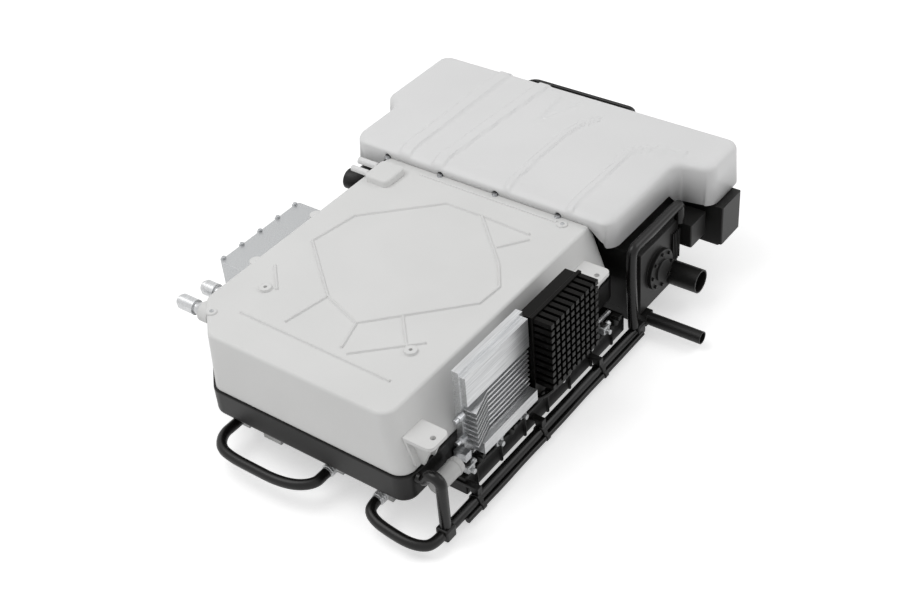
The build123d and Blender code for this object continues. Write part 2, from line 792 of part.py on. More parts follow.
fitting_start = deck_end - 25
fitting_length = 82.0
with BuildPart() as rear_tube_fittings:
    with BuildSketch(Plane.XZ.offset(-fitting_start)):
        with Locations(*[(x, rear_tube_z) for x in rear_tube_x]):
            Circle(rear_fitting_radius)
    extrude(amount=-fitting_length)
rear_tube_fittings.part.label = "rear_tube_fittings"
export_step(rear_tube_fittings.part, "parts/rear_tube_fittings.step")

with BuildPart() as rear_tube:
    with BuildLine():
        FilletPolyline(
            (rear_tube_x[0], fitting_start + fitting_length, rear_tube_z),
            (rear_tube_x[0], rear_tube_y, rear_tube_z),
            (rear_tube_x[1], rear_tube_y, rear_tube_z),
            (rear_tube_x[1], fitting_start + fitting_length, rear_tube_z),
            radius=30,
        )
    with BuildSketch(Plane.XZ.offset(-fitting_start - fitting_length)):
        with Locations((rear_tube_x[0], rear_tube_z)):
            Circle(rear_tube_radius)
    sweep()
rear_tube.part.label = "rear_tube"
export_step(rear_tube.part, "parts/rear_tube.step")

# ---- humidifier on the right of the rear bay ----
humid_front = stack_rear + 27
humid_rear = humid_front + 268
humid_right = side + 38
with BuildPart() as humidifier:
    with BuildSketch(Plane.XY.offset(tray_base + 38)):
        with Locations(((deck_right + humid_right) / 2, (humid_front + humid_rear) / 2)):
            RectangleRounded(humid_right - deck_right, humid_rear - humid_front, 14)
    extrude(amount=rear_bottom - 5 - tray_base - 38)
    with BuildSketch(Plane.YZ.offset(humid_right - 1)):
        with Locations(((humid_front + humid_rear) / 2 - 30, tray_base + 84)):
            with GridLocations(30, 1, 5, 1):
                Rectangle(8, 80)
    extrude(amount=9)
    with Locations((deck_right - 30, (humid_front + humid_rear) / 2, tray_base + 40)):
        Box(60, 120, 80)
humidifier.part.label = "humidifier"
export_step(humidifier.part, "parts/humidifier.step")

# ---- air compressor under the humidifier: motor barrel, volute and outlet ----
volute_y = stack_rear + 100
volute_z = 94.0
volute_radius = 52.0
with BuildPart() as air_compressor:
    with BuildSketch(Plane.YZ.offset(deck_right)):
        with Locations((volute_y, volute_z)):
            Circle(38)
    extrude(amount=70)
    with BuildSketch(Plane.YZ.offset(deck_right + 70)):
        with Locations((volute_y, volute_z)):
            Circle(volute_radius)
    extrude(amount=58)
    fillet(air_compressor.faces().sort_by(Axis.X)[-1].edges(), 20)
air_compressor.part.label = "air_compressor"
export_step(air_compressor.part, "parts/air_compressor.step")

# ---- air port, capped port and coolant stub that point out to the right ----
port_y = stack_rear + 196
port_z = 83.0
with BuildPart() as air_port:
    with Locations((deck_right + 40, port_y, port_z)):
        Box(80, 2 * port_radius + 8, 2 * (tray_base - port_z))
    with BuildSketch(Plane.YZ.offset(deck_right + 80)):
        with Locations((port_y, port_z)):
            Circle(port_radius)
    extrude(amount=130)
    with BuildSketch(Plane.YZ.offset(deck_right + 210)):
        with Locations((port_y, port_z)):
            Circle(port_radius - 4)
    extrude(amount=-120, mode=Mode.SUBTRACT)
air_port.part.label = "air_port"
export_step(air_port.part, "parts/air_port.step")

stub_y = stack_rear + 50
stub_z = 35.0
with BuildPart() as coolant_stub:
    with Locations((deck_right + 72, stub_y, stub_z)):
        Box(144, 34, 32)
    with Locations((deck_right + 15, stub_y - 4, (stub_z + tray_base) / 2)):
        Box(30, 26, tray_base - stub_z)
    with BuildSketch(Plane.YZ.offset(deck_right + 144)):
        with Locations((stub_y, stub_z)):
            Circle(stub_radius)
    extrude(amount=152)
    with BuildSketch(Plane.YZ.offset(deck_right + 296)):
        with Locations((stub_y, stub_z)):
            Circle(stub_radius - 3)
    extrude(amount=-140, mode=Mode.SUBTRACT)
coolant_stub.part.label = "coolant_stub"
export_step(coolant_stub.part, "parts/coolant_stub.step")

# ---- electronics: control box and relay box at the right rear ----
with BuildPart() as control_box:
    with BuildSketch(Plane.XY.offset(tray_base)):
        with Locations((deck_right + 80, stack_rear + 360)):
            RectangleRounded(220, 70, 4)
    extrude(amount=16)
    with BuildSketch(Plane.XY.offset(tray_base + 16)):
        with Locations((deck_right + 103, stack_rear + 360)):
            RectangleRounded(206, 98, 4)
    extrude(amount=rear_bottom - 4 - tray_base - 16)
control_box.part.label = "control_box"
export_step(control_box.part, "parts/control_box.step")

with BuildPart() as relay_box:
    with BuildSketch(Plane.XY.offset(tray_base + 50)):
        with Locations((humid_right + 31, stack_rear + 257)):
            RectangleRounded(62, 76, 4)
    extrude(amount=68)
relay_box.part.label = "relay_box"
export_step(relay_box.part, "parts/relay_box.step")

# ---- blocks and fittings for the front hoses, under the tray ----
hose_a = (-178.0, 116.0)
hose_b = (262.0, rail_start_x)
block_rear = stack_front + 84
with BuildPart() as hose_blocks:
    for x, width, level in ((hose_a[0], 44, 44), (-82, 55, 40), (hose_a[1], 44, 44), (hose_b[0], 44, 36)):
        with Locations((x, block_rear - 22, (level + tray_base) / 2)):
            Box(width, 44, tray_base - level)
hose_blocks.part.label = "hose_blocks"
export_step(hose_blocks.part, "parts/hose_blocks.step")

fitting_front = block_rear - 44 - 30
with BuildPart() as hose_fittings:
    for x, z in ((hose_a[1], hose_level), (hose_b[0], hose_level - 10)):
        with BuildSketch(Plane.XZ.offset(-fitting_front)):
            with Locations((x, z)):
                Circle(hose_radius + 1)
        extrude(amount=-30)
        for step in (5, 12, 19):
            with BuildSketch(Plane.XZ.offset(-fitting_front - step)):
                with Locations((x, z)):
                    Circle(hose_radius + 3.5)
            extrude(amount=-4)
hose_fittings.part.label = "hose_fittings"
export_step(hose_fittings.part, "parts/hose_fittings.step")

hose_reach = stack_front - 66
with BuildPart() as left_hose:
    with BuildLine():
        FilletPolyline(
            (hose_a[0], block_rear - 44, hose_level), (hose_a[0], hose_reach + 10, hose_level),
            (hose_a[1], hose_reach - 10, hose_level), (hose_a[1], fitting_front, hose_level),
            radius=62,
        )
    with BuildSketch(Plane.XZ.offset(-block_rear + 44)):
        with Locations((hose_a[0], hose_level)):
            Circle(hose_radius)
    sweep()
left_hose.part.label = "left_hose"
export_step(left_hose.part, "parts/left_hose.step")

corner = 17.0
corner_y = stack_front + 36
with BuildPart() as right_hose:
    with BuildLine():
        FilletPolyline(
            (hose_b[0], fitting_front, hose_level - 10), (hose_b[0], hose_reach + 26, hose_level - 10),
            (hose_b[1], hose_reach + 20, rail_level), (hose_b[1], corner_y - corner, rail_level),
            radius=28,
        )
    with BuildSketch(Plane.XZ.offset(-fitting_front)):
        with Locations((hose_b[0], hose_level - 10)):
            Circle(hose_radius)
    sweep()
right_hose.part.label = "right_hose"
export_step(right_hose.part, "parts/right_hose.step")

# ---- corner blocks, guard hoop, side rail and drain tube along the right ----
rear_corner_y = stack_rear
with BuildPart() as rail_corners:
    for y in (corner_y, rear_corner_y):
        with Locations((rail_start_x, y, rail_level)):
            Box(2 * corner, 2 * corner, 2 * corner)
    fillet(rail_corners.edges(), 5)
rail_corners.part.label = "rail_corners"
export_step(rail_corners.part, "parts/rail_corners.step")

with BuildPart() as guard_hoop:
    with BuildLine():
        FilletPolyline(
            (flank, corner_y, tray_base + 58), (flank + 16, corner_y, tray_base + 58),
            (flank + 32, corner_y, tray_base + 80), (rail_start_x, corner_y, tray_base + 86),
            (rail_start_x, corner_y, rail_level + corner), radius=[14, 20, 18],
        )
    with BuildSketch(Plane.YZ.offset(flank)):
        with Locations((corner_y, tray_base + 58)):
            Circle(hoop_radius)
    sweep()
guard_hoop.part.label = "guard_hoop"
export_step(guard_hoop.part, "parts/guard_hoop.step")

with BuildPart() as side_rail:
    with BuildSketch(Plane.XZ.offset(-corner_y - corner)):
        with Locations((rail_start_x, rail_level)):
            Circle(hoop_radius)
            Circle(hoop_radius - 2.5, mode=Mode.SUBTRACT)
    extrude(amount=-(rear_corner_y - corner_y - 2 * corner))
side_rail.part.label = "side_rail"
export_step(side_rail.part, "parts/side_rail.step")

clamp_y = [stack_front + 154, stack_front + 413, stack_front + 668]
drain_x = rail_start_x + 28
drain_z = rail_level - 6
with BuildPart() as rail_clamps:
    for y in clamp_y:
        with BuildSketch(Plane.XZ.offset(-y + 12)):
            with Locations(((rail_start_x + drain_x) / 2 - 3, rail_level)):
                RectangleRounded(62, 38, 9)
            with Locations((rail_start_x, rail_level)):
                Circle(hoop_radius, mode=Mode.SUBTRACT)
            with Locations((drain_x, drain_z)):
                Circle(drain_radius, mode=Mode.SUBTRACT)
        extrude(amount=-24)
rail_clamps.part.label = "rail_clamps"
export_step(rail_clamps.part, "parts/rail_clamps.step")

with BuildPart() as rail_arms:
    for y in clamp_y:
        with BuildSketch(Plane.XZ.offset(-y + 8)):
            with BuildLine():
                Polyline(
                    (runner_offset + runner_width / 2, frame_base + 4), (rail_start_x - 10, frame_base + 4),
                    (rail_start_x - 10, rail_level + 19), (rail_start_x + 10, rail_level + 19),
                    (rail_start_x + 10, frame_base + 12),
                    (runner_offset + runner_width / 2, frame_base + 12), close=True,
                )
            make_face()
        extrude(amount=-16)
rail_arms.part.label = "rail_arms"
export_step(rail_arms.part, "parts/rail_arms.step")

with BuildPart() as drain_tube:
    with BuildSketch(Plane.XZ.offset(-clamp_y[0] + 60)):
        with Locations((drain_x, drain_z)):
            Circle(drain_radius)
            Circle(drain_radius - 2, mode=Mode.SUBTRACT)
    extrude(amount=-(rear_corner_y - clamp_y[0] + 60))
drain_tube.part.label = "drain_tube"
export_step(drain_tube.part, "parts/drain_tube.step")

rear_hoop_radius = 17.0
with BuildPart() as rear_hoop:
    with BuildLine():
        FilletPolyline(
            (rail_start_x, rear_corner_y, rail_level + corner), (rail_start_x, rear_corner_y, split + 116),
            (rail_start_x, stack_rear + 240, split + 112), (rail_start_x, stack_rear + 240, tray_base + 118),
            radius=36,
        )
    with BuildSketch(Plane.XY.offset(rail_level + corner)):
        with Locations((rail_start_x, rear_corner_y)):
            Circle(rear_hoop_radius)
    sweep()
rear_hoop.part.label = "rear_hoop"
export_step(rear_hoop.part, "parts/rear_hoop.step")

# ---- water separator and service line beside the tray ----
with BuildPart() as water_separator:
    with BuildSketch(Plane.XZ.offset(-stack_front - 56)):
        with Locations((flank + 34, tray_base + 12)):
            Circle(34)
    extrude(amount=-90)
    fillet(water_separator.edges().filter_by(GeomType.CIRCLE), 5)
water_separator.part.label = "water_separator"
export_step(water_separator.part, "parts/water_separator.step")

line_x = flank + 14
line_z = frame_base + 12 + 8
with BuildPart() as service_line:
    with BuildSketch(Plane.XZ.offset(-stack_front - 140)):
        with Locations((line_x, line_z)):
            Circle(8)
    extrude(amount=-(stack_rear - stack_front - 190))
service_line.part.label = "service_line"
export_step(service_line.part, "parts/service_line.step")
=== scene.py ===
import bpy
import bmesh
import json
import math
from mathutils import Vector, Matrix
from mathutils.geometry import delaunay_2d_cdt


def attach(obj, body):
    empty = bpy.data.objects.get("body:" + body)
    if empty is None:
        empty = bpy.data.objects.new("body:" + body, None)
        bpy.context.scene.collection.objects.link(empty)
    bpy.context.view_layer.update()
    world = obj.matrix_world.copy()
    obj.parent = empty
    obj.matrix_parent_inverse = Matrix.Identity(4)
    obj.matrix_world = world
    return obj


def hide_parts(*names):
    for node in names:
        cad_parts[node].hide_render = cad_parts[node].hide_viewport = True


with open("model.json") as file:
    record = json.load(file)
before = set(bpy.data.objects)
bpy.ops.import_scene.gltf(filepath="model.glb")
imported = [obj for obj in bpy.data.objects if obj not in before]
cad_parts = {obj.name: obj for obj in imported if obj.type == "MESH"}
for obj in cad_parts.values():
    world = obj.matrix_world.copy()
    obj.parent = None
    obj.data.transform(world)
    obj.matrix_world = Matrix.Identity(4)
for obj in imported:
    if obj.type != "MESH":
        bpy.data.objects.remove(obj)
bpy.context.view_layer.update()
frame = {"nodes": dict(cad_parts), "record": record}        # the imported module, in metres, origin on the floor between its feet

scene = bpy.context.scene
mm = 0.001


# camera, set to a three-quarter view from above the front right
view = {
    "position": (1.8609, -2.2392, 2.3833),
    "azimuth": 39.747,       # degrees round from the front towards the right
    "elevation": 38.266,
    "roll": -5.423,
    "lens": 57.22,
    "sensor": 36.0,
}


def addCamera():
    azimuth, elevation, roll = (math.radians(view[k]) for k in ("azimuth", "elevation", "roll"))
    back = Vector((
        math.sin(azimuth) * math.cos(elevation),
        -math.cos(azimuth) * math.cos(elevation),
        math.sin(elevation),
    ))
    level = (-back).cross(Vector((0, 0, 1))).normalized()
    rise = back.cross(level)
    right = level * math.cos(roll) + rise * math.sin(roll)
    up = rise * math.cos(roll) - level * math.sin(roll)
    turn = Matrix((right, up, back)).transposed().to_4x4()
    data = bpy.data.cameras.new("mainCamera")
    data.lens = view["lens"]
    data.sensor_width = view["sensor"]
    data.clip_end = 50
    camera = bpy.data.objects.new("mainCamera", data)
    camera.matrix_world = Matrix.Translation(view["position"]) @ turn
    scene.collection.objects.link(camera)
    scene.camera = camera
    print("camera set")


addCamera()


# small tools for the materials
def linear(hexCode):
    channels = [int(hexCode[i:i + 2], 16) / 255 for i in (1, 3, 5)]
    return [c / 12.92 if c <= 0.04045 else ((c + 0.055) / 1.055) ** 2.4 for c in channels] + [1.0]


def addNode(tree, kind, inputs=None, **settings):
    node = tree.nodes.new(kind)
    for name, value in settings.items():
        setattr(node, name, value)
    for key, value in (inputs or {}).items():
        socket = node.inputs[key]
        if isinstance(value, bpy.types.NodeSocket):
            tree.links.new(value, socket)
        else:
            socket.default_value = value
    return node


def newMaterial(name):
    material = bpy.data.materials.new(name)
    material.use_nodes = True
    tree = material.node_tree
    tree.nodes.clear()
    output = addNode(tree, "ShaderNodeOutputMaterial")
    shader = addNode(tree, "ShaderNodeBsdfPrincipled")
    tree.links.new(shader.outputs["BSDF"], output.inputs["Surface"])
    place = addNode(tree, "ShaderNodeTexCoord").outputs["Object"]
    return material, tree, shader, place


def waves(size):
    return 1000.0 / size     # noise scale, in cells per metre, for a grain of this many millimetres


def shadeOf(tree, dark, light, factor, low=0.3, high=0.7):
    ramp = addNode(tree, "ShaderNodeValToRGB", {"Fac": factor})
    ramp.color_ramp.elements[0].position = low
    ramp.color_ramp.elements[1].position = high
    ramp.color_ramp.elements[0].color = linear(dark)
    ramp.color_ramp.elements[1].color = linear(light)
    return ramp.outputs["Color"]


def finishWith(tree, shader, place, grain, depth, strength, edgeRound=0.0, stretch=(1, 1, 1)):
    base = place
    if stretch != (1, 1, 1):
        base = addNode(tree, "ShaderNodeMapping", {"Vector": place, "Scale": stretch}).outputs["Vector"]
    noise = addNode(tree, "ShaderNodeTexNoise", {"Vector": base, "Scale": waves(grain), "Detail": 3.0})
    bump = addNode(tree, "ShaderNodeBump", {
        "Height": noise.outputs["Fac"], "Distance": depth * mm, "Strength": strength,
    })
    if edgeRound:
        bend = addNode(tree, "ShaderNodeBevel", {"Radius": edgeRound * mm}, samples=4)
        tree.links.new(bend.outputs["Normal"], bump.inputs["Normal"])
    tree.links.new(bump.outputs["Normal"], shader.inputs["Normal"])
    return noise.outputs["Fac"]


# one function for each real finish
def powderCoatOnCasting(name, dark, light, rough, edgeRound):
    # cast aluminium sprayed with polyester powder and baked: an even matt skin with a fine orange peel
    material, tree, shader, place = newMaterial(name)
    cloud = addNode(tree, "ShaderNodeTexNoise", {"Vector": place, "Scale": waves(180), "Detail": 2.0})
    tone = shadeOf(tree, dark, light, cloud.outputs["Fac"], 0.35, 0.65)
    tree.links.new(tone, shader.inputs["Base Color"])
    shader.inputs["Roughness"].default_value = rough
    shader.inputs["IOR"].default_value = 1.5
    finishWith(tree, shader, place, 2.2, 0.12, 0.35, edgeRound)
    return material


def mouldedAbs(name, dark, light, rough, edgeRound):
    # injection-moulded ABS: smooth, slightly glossy, with a faint waviness over large panels
    material, tree, shader, place = newMaterial(name)
    cloud = addNode(tree, "ShaderNodeTexNoise", {"Vector": place, "Scale": waves(260), "Detail": 2.0})
    tone = shadeOf(tree, dark, light, cloud.outputs["Fac"], 0.35, 0.65)
    tree.links.new(tone, shader.inputs["Base Color"])
    shader.inputs["Roughness"].default_value = rough
    shader.inputs["IOR"].default_value = 1.53
    finishWith(tree, shader, place, 60, 0.5, 0.25, edgeRound)
    return material


def glassFilledNylon(name, dark, light, rough):
    # moulded nylon with short glass fibre: near black, dull, with a mottled skin
    material, tree, shader, place = newMaterial(name)
    fac = finishWith(tree, shader, place, 4, 0.2, 0.4, 1.5)
    tree.links.new(shadeOf(tree, dark, light, fac), shader.inputs["Base Color"])
    shader.inputs["Roughness"].default_value = rough
    shader.inputs["IOR"].default_value = 1.53
    return material


def extrudedRubber(name, dark, light, rough):
    # EPDM hose, extruded and cured: black with a soft sheen and faint lengthwise marks
    material, tree, shader, place = newMaterial(name)
    fac = finishWith(tree, shader, place, 3, 0.15, 0.3)
    tree.links.new(shadeOf(tree, dark, light, fac), shader.inputs["Base Color"])
    shader.inputs["Roughness"].default_value = rough
    shader.inputs["IOR"].default_value = 1.52
    return material


def sandCastAluminium(name, dark, light, rough):
    # cast in a mould and shot-blasted: pale grey metal with a pebbled skin
    material, tree, shader, place = newMaterial(name)
    fac = finishWith(tree, shader, place, 2.5, 0.25, 0.6, 2.0)
    tree.links.new(shadeOf(tree, dark, light, fac), shader.inputs["Base Color"])
    shader.inputs["Metallic"].default_value = 0.75
    shader.inputs["Roughness"].default_value = rough
    return material


def extrudedAluminium(name, dark, light, rough, stretch=(1, 0.03, 1)):
    # pushed through a die and left bare: fine straight drawing lines along the length
    material, tree, shader, place = newMaterial(name)
    fac = finishWith(tree, shader, place, 3, 0.08, 0.35, 1.0, stretch)
    tree.links.new(shadeOf(tree, dark, light, fac), shader.inputs["Base Color"])
    shader.inputs["Metallic"].default_value = 0.8
    shader.inputs["Roughness"].default_value = rough
    return material


def zincPlatedSteel(name, dark, light, rough):
    # turned steel with bright zinc plating: light metal with small cloudy patches
    material, tree, shader, place = newMaterial(name)
    fac = finishWith(tree, shader, place, 5, 0.05, 0.3, 0.6)
    tree.links.new(shadeOf(tree, dark, light, fac), shader.inputs["Base Color"])
    shader.inputs["Metallic"].default_value = 1.0
    shader.inputs["Roughness"].default_value = rough
    return material


finishes = {
    "stackWhite": powderCoatOnCasting("whitePowderCoat", "#DFDFDE", "#E2E2E1", 0.55, 3.0),
    "hoodWhite": mouldedAbs("whiteMouldedAbs", "#E2E2E2", "#E5E5E5", 0.44, 4.0),
    "trayBlack": powderCoatOnCasting("blackPowderCoat", "#070606", "#0B0A09", 0.40, 3.0),
    "tubeBlack": powderCoatOnCasting("blackTubeCoat", "#080707", "#0C0B0A", 0.27, 0.5),
    "nylonBlack": glassFilledNylon("blackNylon", "#070706", "#0D0C0B", 0.46),
    "hoseBlack": extrudedRubber("blackHoseRubber", "#090808", "#0F0E0D", 0.34),
    "gasketBlack": extrudedRubber("gasketRubber", "#141414", "#1C1C1C", 0.7),
    "castSilver": sandCastAluminium("castAluminium", "#A9ABAC", "#D2D3D4", 0.42),
    "bareSilver": extrudedAluminium("drawnAluminium", "#B9BABB", "#DADBDC", 0.34),
    "anodised": extrudedAluminium("blackAnodised", "#080706", "#0F0E0C", 0.42),
    "steel": zincPlatedSteel("zincSteel", "#9FA1A3", "#CBCCCE", 0.3),
    "copper": zincPlatedSteel("copperBar", "#9A5B32", "#C7804C", 0.3),
    "graphite": glassFilledNylon("graphitePlates", "#1C1C1E", "#2E2E31", 0.6),
    "paleGrey": powderCoatOnCasting("greyPowderCoat", "#B4B4B3", "#C6C6C5", 0.45, 2.0),
}
dullSkin = {"finishes": ("trayBlack", "tubeBlack", "nylonBlack", "hoseBlack", "anodised"), "shine": 0.32}


def dullBlacks():
    # a dull skin, so the pale sky hardly shows in the blacks
    for label in dullSkin["finishes"]:
        for node in finishes[label].node_tree.nodes:
            if node.type == "BSDF_PRINCIPLED":
                node.inputs["Specular IOR Level"].default_value = dullSkin["shine"]


dullBlacks()

slotFinish = {
    "cover_white": "stackWhite", "hood_white": "hoodWhite", "black_coat": "trayBlack",
    "black_tube": "tubeBlack", "black_plastic": "nylonBlack", "black_rubber": "hoseBlack",
    "gasket": "gasketBlack", "cast_silver": "castSilver", "bare_silver": "bareSilver",
    "anodised_black": "anodised", "steel": "steel", "copper": "copper", "cells": "graphite",
    "light_grey": "paleGrey",
}


def dressNodes():
    slotOf = {part["node"]: part["material_slot"] for part in frame["record"]["subparts"]}
    for name, thing in frame["nodes"].items():
        chosen = finishes[slotFinish[slotOf[name]]]
        for slot in thing.material_slots:
            slot.material = chosen
    print("materials on", len(frame["nodes"]), "nodes")


dressNodes()


# small tools for the pieces, all in millimetres
def addBlock(shape, low, high):
    size = [h - l for l, h in zip(low, high)]
    middle = [(h + l) / 2 for l, h in zip(low, high)]
    for vert in bmesh.ops.create_cube(shape, size=1.0)["verts"]:
        vert.co = Vector([m + c * s for m, c, s in zip(middle, vert.co, size)]) * mm


def addRod(shape, start, end, radius, sides=28, tip=None):
    a, b = Vector(start) * mm, Vector(end) * mm
    turn = (b - a).to_track_quat("Z", "Y").to_matrix().to_4x4()
    bmesh.ops.create_cone(
        shape, cap_ends=True, segments=sides, radius1=radius * mm, radius2=(radius if tip is None else tip) * mm,
        depth=(b - a).length, matrix=Matrix.Translation((a + b) / 2) @ turn,
    )


def finishPiece(name, mesh, finish, slotName, *nodes, edge=0.0, crease=32):
    mesh.materials.append(finishes[finish])
    for face in mesh.polygons:
        face.use_smooth = True
    mesh.set_sharp_from_angle(angle=math.radians(crease))
    piece = bpy.data.objects.new(name, mesh)
    scene.collection.objects.link(piece)
    if edge:
        bevel = piece.modifiers.new("softEdges", "BEVEL")
        bevel.width = edge * mm
        bevel.segments = 3
        bevel.limit_method = "ANGLE"
        bevel.angle_limit = math.radians(40)
        bevel.harden_normals = True
    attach(piece, "root")
    if nodes:
        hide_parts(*nodes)
    return piece


def meshOf(name, shape):
    bmesh.ops.recalc_face_normals(shape, faces=shape.faces)
    mesh = bpy.data.meshes.new(name)
    shape.to_mesh(mesh)
    shape.free()
    return mesh


def addTube(name, route, radius, finish, slotName, *nodes, order=3):
    data = bpy.data.curves.new(name, "CURVE")
    data.dimensions = "3D"
    data.bevel_depth = radius * mm
    data.bevel_resolution = 6
    data.use_fill_caps = True
    spline = data.splines.new("NURBS")
    spline.points.add(len(route) - 1)
    for point, place in zip(spline.points, route):
        point.co = (*(c * mm for c in place), 1.0)
    spline.use_endpoint_u = True
    spline.order_u = order
    spline.resolution_u = 14
    data.materials.append(finishes[finish])
    piece = bpy.data.objects.new(name, data)
    scene.collection.objects.link(piece)
    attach(piece, "root")
    if nodes:
        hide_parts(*nodes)
    return piece


# moulded hood over the rear equipment, with soft ridges along its top
hood = {
    "front": 175.0, "rear": 660.0,
    "left": -430.0, "right": 380.0, "wideLeft": -480.0, "wideRight": 478.0,
    "leftStep": (366.0, 382.0), "rightStep": (486.0, 504.0),
    "top": 360.0, "skirt": 245.0, "highSkirt": 278.0,
    "cornerRound": 36.0, "edgeRound": 18.0, "draft": 5.0, "wall": 4.5,
    "frontDrop": 11.0, "frontCrease": 36.0,
    "notches": (-314.0, -139.0, 36.0, 226.0), "notchRadius": 10.0,
    "overCover": ((0.0, 327.0), (300.0, 327.0), (317.0, 322.0), (354.0, 290.0), (376.0, 278.0)),
    "gridAcross": 4.5,      # finer across the ridges than along them
    "gridAlong": 12.0,
    "shoulder": 0.26,        # share of a ridge's half width that its side slopes over
    "scoopEdge": 12.0, "skirtRun": 40.0, "ringSteps": 6, "coverBand": 3.0,
    # each ridge: its line, half width, height
    "ridges": (
        (((-258, 150), (-256, 690)), 22.0, 5.8),
        (((-152, 150), (-141, 383), (-123, 690)), 20.0, 5.8),
        (((71, 150), (63, 319), (61, 451), (73, 521), (99, 564)), 11.0, 4.4),
        (((257, 150), (257, 324), (253, 471), (284, 500), (315, 517), (380, 528)), 11.0, 4.4),
    ),
    "scoop": ((-40.0, 455.0), (-16.0, 636.0), 42.0, 5.0),
}


def roundedOutline(corners, radius, pitch=4.0):
    points = []
    count = len(corners)
    for i in range(count):
        before, here, after = (Vector(corners[j % count]) for j in (i - 1, i, i + 1))
        inward, outward = (before - here), (after - here)
        half = inward.angle(outward) / 2
        reach = min(radius / math.tan(half), inward.length * 0.48, outward.length * 0.48)
        bend = reach * math.tan(half)
        centre = here + (inward.normalized() + outward.normalized()).normalized() * (bend / math.sin(half))
        a = here + inward.normalized() * reach - centre
        b = here + outward.normalized() * reach - centre
        sweep = a.angle_signed(b)
        steps = max(3, int(abs(sweep) * bend / pitch))
        for k in range(steps + 1):
            turn = math.atan2(a.y, a.x) - sweep * k / steps
            points.append(centre + Vector((math.cos(turn), math.sin(turn))) * bend)
    dense = []
    for a, b in zip(points, points[1:] + points[:1]):
        runs = max(1, int((b - a).length / pitch))
        dense += [a.lerp(b, k / runs) for k in range(runs)]
    return dense


def hoodCorners(grow):
    h = hood
    return [
        (h["left"] - grow, h["front"]), (h["right"] + grow, h["front"]),
        (h["right"] + grow, h["rightStep"][0] - grow), (h["wideRight"] + grow, h["rightStep"][1] - grow),
        (h["wideRight"] + grow, h["rear"] + grow), (h["wideLeft"] - grow, h["rear"] + grow),
        (h["wideLeft"] - grow, h["leftStep"][1] - grow), (h["left"] - grow, h["leftStep"][0] - grow),
    ]


def lineDistance(x, y, route):
    best = 1e9
    for (ax, ay), (bx, by) in zip(route, route[1:]):
        along = Vector((bx - ax, by - ay))
        share = max(0.0, min(1.0, (Vector((x - ax, y - ay)).dot(along)) / along.length_squared))
        best = min(best, math.hypot(x - ax - along.x * share, y - ay - along.y * share))
    return best


def soft(value):
    value = max(0.0, min(1.0, value))
    return value * value * (3 - 2 * value)


def hoodRise(x, y):
    rise = 0.0
    for route, half, height in hood["ridges"]:
        rise = max(rise, height * soft((half - lineDistance(x, y, route)) / (half * hood["shoulder"])))
    tip, tail, spread, depth = hood["scoop"]
    share = (y - tip[1]) / (tail[1] - tip[1])
    if 0 < share <= 1:
        middle = tip[0] + (tail[0] - tip[0]) * share
        rise -= depth * soft((spread * share - abs(x - middle)) / hood["scoopEdge"]) * soft((1 - share) * 8)
    if y < hood["front"] + hood["frontCrease"]:
        rise -= hood["frontDrop"] * (1 - (y - hood["front"]) / hood["frontCrease"])
    return rise


def skirtLevel(x, y):
    h = hood
    if y < h["front"] + h["coverBand"] and abs(x) < h["overCover"][-1][0]:
        level = h["skirt"]
        for (xa, za), (xb, zb) in zip(h["overCover"], h["overCover"][1:]):
            if xa <= abs(x) <= xb:
                level = za + (zb - za) * (abs(x) - xa) / (xb - xa)
        for notch in h["notches"]:
            if abs(x - notch) < h["notchRadius"]:
                level = max(level, h["overCover"][0][1] + math.sqrt(h["notchRadius"] ** 2 - (x - notch) ** 2))
        return level
    run = h["skirtRun"]
    return h["highSkirt"] - (h["highSkirt"] - h["skirt"]) * soft((y - h["rightStep"][0] + run) / run)


def makeHood():
    h = hood
    shape = bmesh.new()
    outline = roundedOutline(hoodCorners(0.0), h["cornerRound"])
    count = len(outline)
    sideways = []
    for i in range(count):
        along = outline[(i + 1) % count] - outline[i - 1]
        sideways.append(Vector((along.y, -along.x)).normalized())
    rings = []
    bends = [90 * k / h["ringSteps"] for k in range(h["ringSteps"] + 1)]
    for turn in [None] + bends:
        ring = []
        for point, out in zip(outline, sideways):
            if turn is None:
                flat, level = point + out * h["draft"] * (out.y > -0.9), skirtLevel(point.x, point.y)
            else:
                flat = point - out * h["edgeRound"] * (1 - math.cos(math.radians(turn)))
                level = h["top"] - h["edgeRound"] * (1 - math.sin(math.radians(turn)))
                lift = hoodRise(flat.x, flat.y) * (math.sin(math.radians(turn)) if turn else 0.0)
                level += lift
                level = max(level, skirtLevel(point.x, point.y) + 0.5)
            ring.append(shape.verts.new((flat.x * mm, flat.y * mm, level * mm)))
        rings.append(ring)
    for low, high in zip(rings, rings[1:]):
        for i in range(count):
            j = (i + 1) % count
            shape.faces.new((low[i], low[j], high[j], high[i]))
    rim = [v.co.to_2d() for v in rings[-1]]
    inside = []
    x = h["wideLeft"]
    while x < h["wideRight"]:
        y = h["front"]
        while y < h["rear"]:
            inside.append(Vector((x * mm, y * mm)))
            y += h["gridAlong"]
        x += h["gridAcross"]
    near = h["gridAcross"] * mm * 0.45
    kept = [p for p in inside if min((p - q).length_squared for q in rim) > near * near]
    edges = [(i, (i + 1) % count) for i in range(count)]
    made, _, faces, origins, _, _ = delaunay_2d_cdt(rim + kept, edges, [list(range(count))], 1, 1e-7)
    verts = []
    for point, source in zip(made, origins):
        if source and source[0] < count:
            verts.append(rings[-1][source[0]])
        else:
            level = h["top"] + hoodRise(point.x / mm, point.y / mm)
            verts.append(shape.verts.new((point.x, point.y, level * mm)))
    for face in faces:
        shape.faces.new([verts[i] for i in face])
    mesh = meshOf("hoodShell", shape)
    piece = finishPiece("hoodShell", mesh, "hoodWhite", "hood_white", "rear_cover")
    wall = piece.modifiers.new("wall", "SOLIDIFY")
    wall.thickness = h["wall"] * mm
    wall.offset = -1
    print("hood made")


makeHood()


